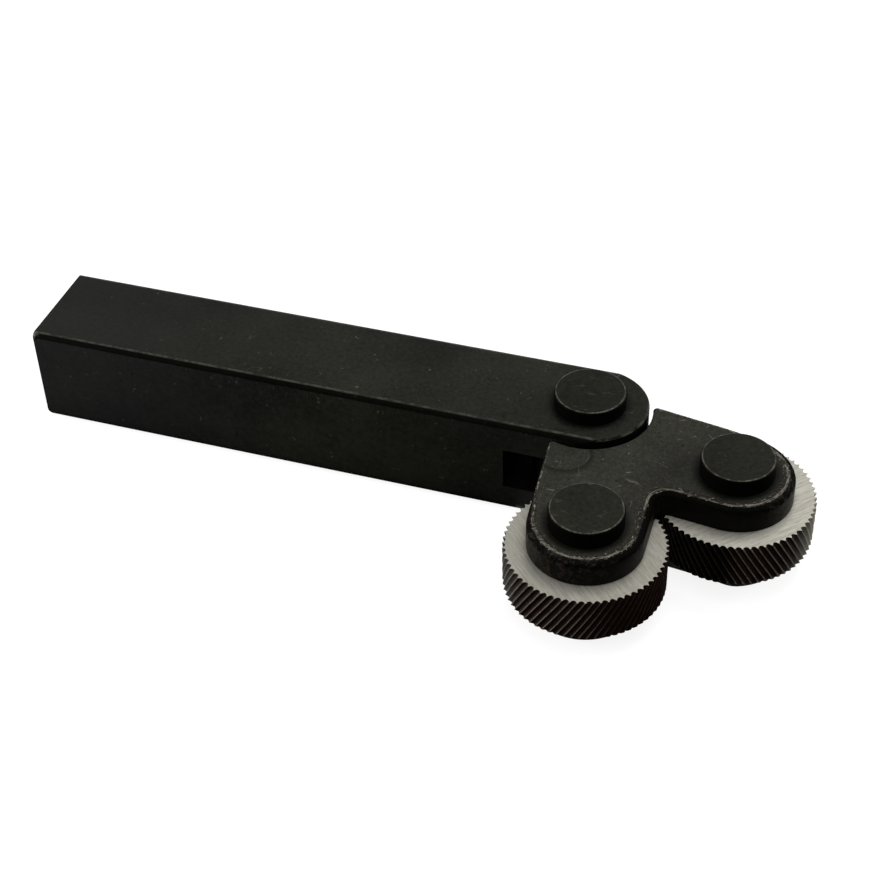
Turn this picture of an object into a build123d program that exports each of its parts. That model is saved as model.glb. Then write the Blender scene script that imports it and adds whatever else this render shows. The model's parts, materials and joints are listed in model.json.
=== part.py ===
"""Swivel-head knurling tool for a lathe: a forked square shank, a head that
turns on a pivot pin, and two knurl wheels of opposite hand on pins in the head.

The tool lies on one side of its shank, with the pin heads up. The origin is in
the middle of the clamped length, on the underside. +X runs along the shank
towards the head, and the pivot axis and both wheel axes are vertical.
"""
from build123d import *
import math
import os

# Shank: a square bar with a forked, rounded front end
BAR = 19.05                  # side of the bar, three quarters of an inch
SHANK_BEHIND_PIVOT = 98.3
FORK_DEPTH = 12.2            # from the pivot axis back to the floor of the fork
PIVOT_X = (SHANK_BEHIND_PIVOT + FORK_DEPTH) / 2   # from the middle of the clamped length
FORK_HEIGHT = 8.0
NOSE_LEAD = 0.3              # how far ahead of the pivot axis the nose is centred
TOP_ROUNDING = 1.0           # along the bar's upper corners
BASE_ROUNDING = 2.2          # along its lower corners
HEEL_ROUNDING = 2.2          # across the lower rear edge
EDGE_BREAK = 0.3             # small chamfer on the sawn rear end and the rounded nose
MID_HEIGHT = BAR / 2         # middle plane of the bar, head and wheels

# Pins: flat round heads, with tails peened over into countersinks
PIN_RADIUS = 4.0
PIN_HEAD_RADIUS = 6.0
PIVOT_PIN_HEAD = 2.6         # height of the pivot pin's head
WHEEL_PIN_HEAD = 3.1         # height of the wheel pins' heads
PIN_HEAD_CHAMFER = 0.4
TAIL_SPREAD = 1.0            # how much wider and how deep the peened tail is
RUNNING_CLEARANCE = 0.05     # on the radius, where something turns on a pin

# Knurl wheels
WHEEL_RADIUS = 13.0
WHEEL_WIDTH = 8.0
TOOTH_COUNT = 68
TOOTH_DEPTH = 0.6
HELIX_ANGLE = 30.0

# Swivel head, in its own frame: pivot axis at the origin, +X midway between the wheels
HEAD_TURN = -47.3            # how far the head is turned from straight ahead
HEAD_RECESS = 0.95           # head faces stand this far inside the bar's faces
WHEEL_SLOT = 8.3
WHEEL_AHEAD = 24.4
WHEEL_ASIDE = 13.5
LOBE_RADIUS = 9.3
COLLAR_RADIUS = 10.45        # hollow round the shank's rounded end
SHOULDER = (4.2, 9.5)        # where the sloping side would end without that hollow
SHOULDER_ROUNDING = 0.7
NOTCH_AHEAD = 23.0           # point of the notch between the lobes, before rounding
NOTCH_ROUNDING = 2.0
POCKET_RADIUS = 13.5
TONGUE_RADIUS = 9.4
TONGUE_HEIGHT = 7.8
HEAD_EDGE_CHAMFER = 0.7
WITNESS_PLACE = (8.5, -9.1)  # low round casting mark on one shoulder
WITNESS_RADIUS = 4.1
WITNESS_HEIGHT = 0.15

HEAD_BOTTOM = HEAD_RECESS
HEAD_TOP = BAR - HEAD_RECESS
OVERCUT = 1.0                # how far cutting shapes run past the faces they cut

NOSE_TO_REAR = SHANK_BEHIND_PIVOT + NOSE_LEAD

PIVOT = Plane((PIVOT_X, 0, 0))
NOSE = Plane((PIVOT_X + NOSE_LEAD, 0, 0))
HEAD = PIVOT.rotated((0, 0, HEAD_TURN))


def at_height(plane, height):
    """The same plane, raised to a height above the underside."""
    return plane.offset(height)


def upright(plane):
    """A vertical plane through a vertical axis, for profiles that are revolved about it."""
    return Plane(plane.origin, x_dir=(1, 0, 0), z_dir=(0, -1, 0))


def pin(node, plane, seat, head, tail):
    """A pin whose flat head, of height head, sits at height seat and whose tail ends at height tail."""
    with BuildPart() as pin_part:
        with BuildSketch(upright(plane)):
            with BuildLine():
                Polyline(
                    (0, tail),
                    (PIN_RADIUS + TAIL_SPREAD, tail),
                    (PIN_RADIUS, tail + TAIL_SPREAD),
                    (PIN_RADIUS, seat),
                    (PIN_HEAD_RADIUS, seat),
                    (PIN_HEAD_RADIUS, seat + head - PIN_HEAD_CHAMFER),
                    (PIN_HEAD_RADIUS - PIN_HEAD_CHAMFER, seat + head),
                    (0, seat + head),
                    close=True,
                )
            make_face()
        revolve(axis=Axis(plane.origin, (0, 0, 1)))
    write(pin_part, node)


def countersunk_from_below(plane, tail):
    """Where a pin's hole starts: on its axis at the tail's height, facing down."""
    return Plane(plane.origin + Vector(0, 0, tail), z_dir=(0, 0, -1))


def tooth_points():
    """Outline of the toothed rim: pointed crests with a V-shaped groove after each."""
    points = []
    half_pitch = math.pi / TOOTH_COUNT
    for tooth in range(TOOTH_COUNT):
        crest = 2 * tooth * half_pitch
        root = crest + half_pitch
        root_radius = WHEEL_RADIUS - TOOTH_DEPTH
        points.append((WHEEL_RADIUS * math.cos(crest), WHEEL_RADIUS * math.sin(crest)))
        points.append((root_radius * math.cos(root), root_radius * math.sin(root)))
    return points


def knurl_wheel(node, plane, hand):
    """A wheel with helical teeth: hand +1 for a right-hand helix, -1 for a left-hand one."""
    lead_turn = math.degrees(WHEEL_WIDTH * math.tan(math.radians(HELIX_ANGLE)) / WHEEL_RADIUS)
    base = at_height(plane, MID_HEIGHT - WHEEL_WIDTH / 2)
    with BuildPart() as wheel:
        with BuildSketch(base, mode=Mode.PRIVATE) as rim:
            with BuildLine():
                Polyline(*tooth_points(), close=True)
            make_face()
        add(
            Solid.extrude_linear_with_rotation(
                rim.sketch.face(), base.origin, (0, 0, WHEEL_WIDTH), hand * lead_turn
            )
        )
        with BuildSketch(base):
            Circle(PIN_RADIUS + RUNNING_CLEARANCE)
        extrude(amount=WHEEL_WIDTH, mode=Mode.SUBTRACT)
    write(wheel, node)


def write(builder, node):
    """Label the finished piece with its node's name and write it."""
    builder.part.label = node
    export_step(builder.part, f"parts/{node}.step")


os.makedirs("parts", exist_ok=True)

right_hand_axis = Plane(HEAD.from_local_coords((WHEEL_AHEAD, -WHEEL_ASIDE, 0)))
left_hand_axis = Plane(HEAD.from_local_coords((WHEEL_AHEAD, WHEEL_ASIDE, 0)))

with BuildPart() as seen_from_above:
    with BuildSketch(NOSE):
        Rectangle(NOSE_TO_REAR, BAR, align=(Align.MAX, Align.CENTER))
    extrude(amount=BAR)
    with BuildSketch(upright(NOSE)) as nose:
        Rectangle(BAR / 2, BAR, align=(Align.MIN, Align.MIN))
        chamfer(nose.vertices().group_by(Axis.X)[-1], EDGE_BREAK)
    revolve(axis=Axis(NOSE.origin, (0, 0, 1)))

with BuildPart() as shank:
    with BuildSketch(Plane.XZ) as side_view:
        with Locations((PIVOT_X - SHANK_BEHIND_PIVOT, 0)):
            Rectangle(NOSE_TO_REAR + BAR / 2, BAR, align=(Align.MIN, Align.MIN))
        heel, top_corner = side_view.vertices().group_by(Axis.X)[0].sort_by(Axis.Y)
        fillet(heel, HEEL_ROUNDING)
        chamfer(top_corner, EDGE_BREAK)
    extrude(amount=BAR / 2, both=True)
    with BuildSketch(Plane.YZ.offset(PIVOT_X)) as end_view:
        Rectangle(BAR, BAR, align=(Align.CENTER, Align.MIN))
        fillet(end_view.vertices().group_by(Axis.Y)[-1], TOP_ROUNDING)
        fillet(end_view.vertices().group_by(Axis.Y)[0], BASE_ROUNDING)
    extrude(amount=NOSE_TO_REAR, both=True, mode=Mode.INTERSECT)
    add(seen_from_above.part, mode=Mode.INTERSECT)
    with BuildSketch(at_height(PIVOT, MID_HEIGHT - FORK_HEIGHT / 2)):
        Rectangle(FORK_DEPTH, BAR + 2 * OVERCUT, align=(Align.MAX, Align.CENTER))
        Rectangle(BAR, BAR + 2 * OVERCUT, align=(Align.MIN, Align.CENTER))
    extrude(amount=FORK_HEIGHT, mode=Mode.SUBTRACT)
    with Locations(countersunk_from_below(PIVOT, 0)):
        CounterSinkHole(PIN_RADIUS, PIN_RADIUS + TAIL_SPREAD, counter_sink_angle=90)
write(shank, "shank")

with BuildPart() as swivel_head:
    with BuildSketch(at_height(HEAD, HEAD_BOTTOM)) as outline:
        with BuildLine():
            Line((0, 0), SHOULDER)
            Line((0, 0), (NOTCH_AHEAD, 0))
        with Locations((WHEEL_AHEAD, WHEEL_ASIDE)):
            Circle(LOBE_RADIUS)
        make_hull()
        mirror(about=Plane.XZ)
        fillet(outline.vertices().sort_by_distance((NOTCH_AHEAD, 0))[0], NOTCH_ROUNDING)
        Circle(COLLAR_RADIUS, mode=Mode.SUBTRACT)
        fillet(outline.vertices().sort_by_distance((0, 0))[:2], SHOULDER_ROUNDING)
    extrude(amount=HEAD_TOP - HEAD_BOTTOM)
    chamfer(swivel_head.faces().sort_by(Axis.Z)[-1].edges(), HEAD_EDGE_CHAMFER)
    chamfer(swivel_head.faces().sort_by(Axis.Z)[0].edges(), HEAD_EDGE_CHAMFER)
    with BuildSketch(at_height(HEAD, MID_HEIGHT - TONGUE_HEIGHT / 2)):
        Circle(TONGUE_RADIUS)
        Rectangle(WHEEL_AHEAD / 2, 2 * TONGUE_RADIUS, align=(Align.MIN, Align.CENTER))
    extrude(amount=TONGUE_HEIGHT)
    with BuildSketch(at_height(HEAD, MID_HEIGHT - WHEEL_SLOT / 2)):
        with Locations((WHEEL_AHEAD, WHEEL_ASIDE), (WHEEL_AHEAD, -WHEEL_ASIDE)):
            Circle(POCKET_RADIUS)
    extrude(amount=WHEEL_SLOT, mode=Mode.SUBTRACT)
    with Locations(HEAD):
        Hole(PIN_RADIUS + RUNNING_CLEARANCE)
    with Locations(
        countersunk_from_below(right_hand_axis, HEAD_BOTTOM),
        countersunk_from_below(left_hand_axis, HEAD_BOTTOM),
    ):
        CounterSinkHole(PIN_RADIUS, PIN_RADIUS + TAIL_SPREAD, counter_sink_angle=90)
    with BuildSketch(at_height(HEAD, HEAD_TOP)):
        add(outline.sketch_local)
        offset(amount=-HEAD_EDGE_CHAMFER, mode=Mode.REPLACE)
        with Locations(WITNESS_PLACE):
            Circle(WITNESS_RADIUS, mode=Mode.INTERSECT)
    extrude(amount=WITNESS_HEIGHT)
write(swivel_head, "swivel_head")

pin("pivot_pin", PIVOT, BAR, PIVOT_PIN_HEAD, 0)
pin("right_hand_wheel_pin", right_hand_axis, HEAD_TOP, WHEEL_PIN_HEAD, HEAD_BOTTOM)
pin("left_hand_wheel_pin", left_hand_axis, HEAD_TOP, WHEEL_PIN_HEAD, HEAD_BOTTOM)
knurl_wheel("right_hand_knurl_wheel", right_hand_axis, 1)
knurl_wheel("left_hand_knurl_wheel", left_hand_axis, -1)
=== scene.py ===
"""Looks of the swivel-head knurling tool: finishes, wear, light and camera.

The shank is the CAD node with a finish of its own. The swivel head, the pins and the
knurl wheels are remodelled here, with worn edges and finer teeth. The tool's lengths
are in millimetres until its meshes are finished. The floor, the cards and the lamps
are placed in metres.
"""
import json
import math

import bmesh
import bpy
from mathutils import Matrix, Vector


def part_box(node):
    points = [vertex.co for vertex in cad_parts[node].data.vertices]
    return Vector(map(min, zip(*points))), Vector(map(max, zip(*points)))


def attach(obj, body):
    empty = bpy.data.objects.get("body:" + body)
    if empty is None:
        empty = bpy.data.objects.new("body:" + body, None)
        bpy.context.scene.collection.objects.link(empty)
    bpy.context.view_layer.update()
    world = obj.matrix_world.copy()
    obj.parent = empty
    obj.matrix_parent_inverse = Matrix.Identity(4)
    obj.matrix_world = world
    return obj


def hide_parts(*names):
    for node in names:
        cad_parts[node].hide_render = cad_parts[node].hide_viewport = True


MM = 0.001

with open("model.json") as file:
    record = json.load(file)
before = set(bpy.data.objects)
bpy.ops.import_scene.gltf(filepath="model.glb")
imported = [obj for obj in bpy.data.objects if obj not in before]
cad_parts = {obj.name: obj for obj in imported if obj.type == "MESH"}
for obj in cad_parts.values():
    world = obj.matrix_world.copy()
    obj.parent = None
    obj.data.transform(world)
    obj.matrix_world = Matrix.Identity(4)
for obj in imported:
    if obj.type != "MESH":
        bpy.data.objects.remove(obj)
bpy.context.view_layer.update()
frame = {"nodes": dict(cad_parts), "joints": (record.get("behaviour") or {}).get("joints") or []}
joints = {joint["name"]: joint for joint in frame["joints"]}
pivot = Vector(joints["head_swivel"]["pos_m"])
right_hand_axis = Vector(joints["right_hand_wheel_spin"]["pos_m"])
left_hand_axis = Vector(joints["left_hand_wheel_spin"]["pos_m"])
between_wheels = (right_hand_axis + left_hand_axis) / 2

# The head's own frame: pivot axis at the origin, X midway between the wheels
head_direction = between_wheels - pivot
HEAD_TURN = math.atan2(head_direction.y, head_direction.x)
WHEEL_AHEAD = head_direction.length / MM
WHEEL_ASIDE = (left_hand_axis - right_hand_axis).length / 2 / MM
HEAD_TO_ROW = Matrix.Translation((pivot.x, pivot.y, 0)) @ Matrix.Rotation(HEAD_TURN, 4, "Z")

# Shank, in millimetres
SHANK_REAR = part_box("shank")[0].x / MM
SHANK_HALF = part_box("shank")[1].y / MM
SHANK_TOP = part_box("shank")[1].z / MM
PIVOT_X = pivot.x / MM
REAR_OF_SLOT = (30, 31)          # anywhere between the rear end's face and the slot
SLOT_HALF_HEIGHT = (4.3, 4.1)    # from the slot's middle: outside it, and inside it

# Head, in millimetres
HEAD_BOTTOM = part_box("swivel_head")[0].z / MM
HEAD_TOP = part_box("shank")[1].z / MM - HEAD_BOTTOM
MID_HEIGHT = (HEAD_BOTTOM + HEAD_TOP) / 2
LOBE_RADIUS = 9.3
COLLAR_RADIUS = 10.45            # hollow round the shank's rounded end
SHOULDER = Vector((4.2, 9.5))    # where the sloping side would end without that hollow
SHOULDER_ROUNDING = 0.7
NOTCH_AHEAD = 23.0               # point of the notch between the lobes, before rounding
NOTCH_ROUNDING = 2.0
WHEEL_SLOT = 8.3
POCKET_RADIUS = 13.5
TONGUE_RADIUS = 9.4
TONGUE_HEIGHT = 7.8
WITNESS_PLACE = (8.5, -9.1)      # low round casting mark on one shoulder
WITNESS_RADIUS = 4.1
WITNESS_HEIGHT = 0.06
WITNESS_INSET = 0.05             # from the worn edge to the mark

# The head's outer edges, in millimetres
CRISP_EDGE = 0.32                # rounding near the shank
WORN_EDGE = 1.2                  # rounding at the lobes
WORN_FROM = 0.55                 # share of WHEEL_AHEAD where the wear begins
WORN_OVER = 0.4                  # share of WHEEL_AHEAD over which it grows
NOTCH_RELIEF = 2.6               # rounding of the lower edge round the notch
RELIEF_REACH = 14                # from the notch's point to where the relief begins
RELIEF_GROWTH = 5                # distance over which it grows
EDGE_TURNS = range(0, 91, 10)    # degrees, from the wall up to the flat
RIM_EDGE = 3.0                   # value of the attribute rim where the flats turn down
RIM_FADE = 0.03                  # width of the ring over which rim falls to 0
RIM_WIDTH_CRISP = 0.1            # width of the strip inside a crisp edge that can be worn
RIM_WIDTH_GAIN = 1.6             # how much wider it is at a fully worn edge
# Strips across the edge, from where the flat turns down: start, full, full, end
WORN_STRIP = (-1.2, -0.3, 0.2, 0.5)
BARE_STRIP = (-0.42, -0.12, 0.04, 0.24)
# Parts of the edge, by the length along it from the notch's middle
OUTER_LOBES = (14, 22, 33, 41)   # start, full, full, end
CRISP_PART = (28, 34)            # start, full
SHELTERED_PLACE = (29.2, -5.4)   # inside of the right-hand lobe, where the edge is unworn
SHELTERED_REACH = (2.6, 5.2)     # unworn within the first, fully worn beyond the second

# Pins, in millimetres
PIN_RADIUS = 4.0
PIN_HEAD_RADIUS = 6.0
PIN_HEAD_ROUNDING = 0.45
TAIL_SPREAD = 1.0                # how much wider and how deep the peened tail is
BORE_CLEARANCE = 0.05

# Knurl wheels, in millimetres
WHEEL_RADIUS = 13.0
WHEEL_WIDTH = 8.0
TOOTH_COUNT = 68
TOOTH_DEPTH = 0.5
CREST_SHARE = 0.06               # half a crest's width, as a share of the pitch
CREST_FALL = 0.006               # how far a crest's edges lie below its middle
TOOTH_BEVEL = 0.3                # at the lower ends of the teeth
HELIX_ANGLE = math.radians(30)
HELIX_LEVELS = 14
FACE_BEYOND_TEETH = 0.6          # from the grooves' bottoms in to the plain face
BORE_BEVEL = 0.3

SHARP_ANGLE = math.radians(32)   # edges that turn more than this are shaded sharp
OVERCUT = 1.0                    # how far cutting shapes run past the faces they cut


# ---------------------------------------------------------------- shader graphs

class Graph:
    """Builds one procedural material, node by node, in millimetres of the object."""

    def __init__(self, name):
        self.material = bpy.data.materials.new(name)
        self.material.use_nodes = True
        self.nodes = self.material.node_tree.nodes
        self.links = self.material.node_tree.links
        self.shader = self.nodes["Principled BSDF"]
        place = self.nodes.new("ShaderNodeTexCoord")
        scaled = self.nodes.new("ShaderNodeVectorMath")
        scaled.operation = "SCALE"
        scaled.inputs["Scale"].default_value = 1 / MM
        self.links.new(place.outputs["Object"], scaled.inputs[0])
        self.place = scaled.outputs[0]
        self.normal = place.outputs["Normal"]

    def put(self, value, socket):
        if isinstance(value, bpy.types.NodeSocket):
            self.links.new(value, socket)
        else:
            socket.default_value = value

    def math(self, operation, a, b=0.0):
        node = self.nodes.new("ShaderNodeMath")
        node.operation = operation
        self.put(a, node.inputs[0])
        self.put(b, node.inputs[1])
        return node.outputs[0]

    def times(self, *factors):
        product = factors[0]
        for factor in factors[1:]:
            product = self.math("MULTIPLY", product, factor)
        return product

    def larger(self, a, b):
        return self.math("MAXIMUM", a, b)

    def away_from(self, value, middle):
        return self.math("ABSOLUTE", self.math("SUBTRACT", value, middle))

    def axis(self, vector, letter):
        node = self.nodes.new("ShaderNodeSeparateXYZ")
        self.put(vector, node.inputs[0])
        return node.outputs[letter]

    def vector(self, x, y, z):
        node = self.nodes.new("ShaderNodeCombineXYZ")
        for socket, value in zip(node.inputs, (x, y, z)):
            self.put(value, socket)
        return node.outputs[0]

    def vector_math(self, operation, a, b=(0, 0, 0)):
        node = self.nodes.new("ShaderNodeVectorMath")
        node.operation = operation
        self.put(a, node.inputs[0])
        self.put(b, node.inputs[1])
        return node.outputs["Value" if operation in ("LENGTH", "DOT_PRODUCT") else "Vector"]

    def offset_from(self, point):
        """Place measured from a point given in millimetres."""
        return self.vector_math("SUBTRACT", self.place, tuple(point))

    def from_axis(self, axis):
        """Distance in millimetres from an upright axis through a point given in metres."""
        offset = self.offset_from(axis / MM)
        flat = self.vector(self.axis(offset, "X"), self.axis(offset, "Y"), 0.0)
        return self.vector_math("LENGTH", flat)

    def from_head_place(self, place):
        """Distance from an upright axis through a place in the head's own frame."""
        return self.from_axis(HEAD_TO_ROW @ (Vector((*place, 0)) * MM))

    def step(self, value, start, end):
        """0 before start, 1 past end, smooth between; start may be the larger."""
        node = self.nodes.new("ShaderNodeMapRange")
        node.interpolation_type = "SMOOTHSTEP"
        node.clamp = True
        self.put(value, node.inputs["Value"])
        node.inputs["From Min"].default_value = min(start, end)
        node.inputs["From Max"].default_value = max(start, end)
        node.inputs["To Min"].default_value = 0.0 if start < end else 1.0
        node.inputs["To Max"].default_value = 1.0 if start < end else 0.0
        return node.outputs["Result"]

    def band(self, value, start, full, full_end, end):
        """1 between full and full_end, falling to 0 at start and at end."""
        return self.times(self.step(value, start, full), self.step(value, end, full_end))

    def turned(self, angle):
        """Place in the object, with X turned to point along an angle about Z."""
        node = self.nodes.new("ShaderNodeVectorRotate")
        node.rotation_type = "Z_AXIS"
        node.inputs["Angle"].default_value = -angle
        self.put(self.place, node.inputs["Vector"])
        return node.outputs[0]

    def noise(self, per_mm, detail=3.0, roughness=0.55, stretch=(1, 1, 1), shift=(0, 0, 0),
              at=None):
        mapping = self.nodes.new("ShaderNodeMapping")
        mapping.inputs["Scale"].default_value = stretch
        mapping.inputs["Location"].default_value = shift
        self.put(self.place if at is None else at, mapping.inputs["Vector"])
        node = self.nodes.new("ShaderNodeTexNoise")
        node.inputs["Scale"].default_value = per_mm
        node.inputs["Detail"].default_value = detail
        node.inputs["Roughness"].default_value = roughness
        self.put(mapping.outputs[0], node.inputs["Vector"])
        return node.outputs["Fac"]

    def specks(self, per_mm, start, stretch=(1, 1, 1), shift=(0, 0, 0), at=None):
        """Sparse irregular specks, 1 inside a speck: the higher the start, the fewer."""
        field = self.noise(per_mm, detail=2, roughness=0.6, stretch=stretch, shift=shift, at=at)
        return self.step(field, start, start + 0.05)

    def scratches(self, per_mm, width, start, stretch=(1, 1, 1), shift=(0, 0, 0)):
        """Thin winding lines in short pieces, 1 on a line: the higher the start, the fewer."""
        field = self.noise(per_mm, detail=1, stretch=stretch, shift=shift)
        line = self.step(self.away_from(field, 0.5), width, width * 0.3)
        pieces = self.noise(per_mm * 1.9, detail=1, shift=(shift[1], shift[0] + 9, 4))
        return self.times(line, self.step(pieces, start, start + 0.04))

    def mix(self, amount, a, b):
        """Colour a where amount is 0, and b where it is 1."""
        node = self.nodes.new("ShaderNodeMix")
        node.data_type = "RGBA"
        self.put(amount, node.inputs["Factor"])
        self.put(a, node.inputs[6])
        self.put(b, node.inputs[7])
        return node.outputs[2]

    def over(self, base, coat, *amounts):
        """Base with a coat laid over it, as much as the product of the amounts."""
        return self.mix(self.times(*amounts), base, coat)

    def blend(self, amount, a, b):
        """Number a where amount is 0, and b where it is 1."""
        node = self.nodes.new("ShaderNodeMix")
        node.data_type = "FLOAT"
        self.put(amount, node.inputs["Factor"])
        self.put(a, node.inputs[2])
        self.put(b, node.inputs[3])
        return node.outputs[0]

    def attribute(self, name):
        node = self.nodes.new("ShaderNodeAttribute")
        node.attribute_name = name
        return node.outputs["Fac"]

    def bump(self, height, distance_mm, strength):
        node = self.nodes.new("ShaderNodeBump")
        node.inputs["Strength"].default_value = strength
        node.inputs["Distance"].default_value = distance_mm * MM
        self.put(height, node.inputs["Height"])
        return node.outputs["Normal"]

    def finish(self, **sockets):
        for name, value in sockets.items():
            self.put(value, self.shader.inputs[name.replace("_", " ")])
        return self.material


def colour(red, green, blue):
    return (red, green, blue, 1.0)


def scaled(shade, factor):
    return colour(*(factor * c for c in shade[:3]))


# ---------------------------------------------------------------- finishes

# Blackened steel
SHANK_OXIDE = colour(0.0095, 0.0100, 0.0077)
# Painted shade on the top and a painted sheen on the side, towards the shank's rear
REAR_TOP_PAINTED_SHADE = colour(0.0078, 0.0080, 0.0078)
REAR_SIDE_PAINTED_SHEEN = colour(0.0135, 0.0137, 0.0150)
HEAD_OXIDE = colour(0.0180, 0.0181, 0.0144)
# The head's walls, painted nearly black as shade
WALL_PAINTED_SHADE = colour(0.0016, 0.0018, 0.0015)
PIN_OXIDE = colour(0.0088, 0.0092, 0.0066)
# The pivot pin, painted darker than the other pins as shade
PIVOT_OXIDE_PAINTED_SHADE = colour(0.0072, 0.0078, 0.0055)
# Near-black oxide for dark knocks and stains, also used for painted shade
DEEP_OXIDE_AND_SHADE = colour(0.0012, 0.0011, 0.0009)
# Wear on it, some of it with painted highlights and light
RUBBED_OXIDE_AND_HIGHLIGHT = colour(0.042, 0.041, 0.034)
PALE_OXIDE = colour(0.058, 0.057, 0.047)
NICKED_OXIDE = colour(0.11, 0.105, 0.09)
SCUFFED_OXIDE = colour(0.17, 0.15, 0.13)
RUBBED_PIN_RIM_AND_HIGHLIGHT = colour(0.068, 0.065, 0.054)
RUBBED_BROWN_AND_LIGHT = colour(0.046, 0.036, 0.029)
CHIPPED_BROWN = colour(0.0070, 0.0046, 0.0034)
RUST_BROWN = colour(0.0115, 0.0060, 0.0047)
WORN_STEEL = colour(0.17, 0.162, 0.135)
GLINT_STEEL = colour(0.27, 0.258, 0.22)
# Knurl wheels
GROUND_STEEL = colour(0.29, 0.28, 0.242)
GROUND_SHADE = colour(0.20, 0.193, 0.165)
DEEP_LINES = colour(0.09, 0.08, 0.062)
# A ring of dirt and painted shade on the wheels' faces
RING_DIRT_AND_SHADE = colour(0.10, 0.088, 0.066)
CREST_STEEL = colour(0.120, 0.108, 0.088)
# Painted light on the teeth away from the other wheel
PAINTED_LIGHT_TEETH = colour(0.25, 0.235, 0.185)
GROOVE_BROWN = colour(0.0110, 0.0048, 0.0035)
GROOVE_DUST = colour(0.026, 0.017, 0.012)
# Oily brown, also painted shade
GREASE_AND_SHADE_BROWN = colour(0.0078, 0.0032, 0.0024)
WARM_TINT = colour(1, 0.95, 0.84)
# Specular levels
SATIN = 0.03
WALL_SHEEN = 0.045
TOOTH_SHEEN = 0.05
GREASY_SHEEN = 0.015
DULL = 0.004


def oxide_coat(graph, oxide, clouding=0.25):
    """Colour, roughness and bump height of blackened steel: clouded, mottled and grainy."""
    cloud = graph.noise(0.05, detail=3)
    mottle = graph.noise(1.3, detail=6, roughness=0.8, shift=(7, 3, 1))
    grain = graph.noise(4.0, detail=3, roughness=0.8)
    tone = graph.math("ADD", graph.times(mottle, 0.73), graph.times(grain, 0.27))
    tone = graph.blend(clouding, tone, cloud)
    dark = scaled(oxide, 0.50)
    light = colour(1.52 * oxide[0], 1.50 * oxide[1], 1.44 * oxide[2])
    base = graph.mix(graph.step(tone, 0.38, 0.62), dark, light)
    stain = graph.step(graph.noise(0.22, detail=5, roughness=0.7, shift=(2, 5, 8)), 0.58, 0.72)
    base = graph.over(base, DEEP_OXIDE_AND_SHADE, stain, 0.35)
    rough = graph.blend(graph.step(mottle, 0.3, 0.7), 0.34, 0.50)
    height = graph.math("ADD", graph.times(mottle, 0.6), graph.times(grain, 0.4))
    return base, rough, height


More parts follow.
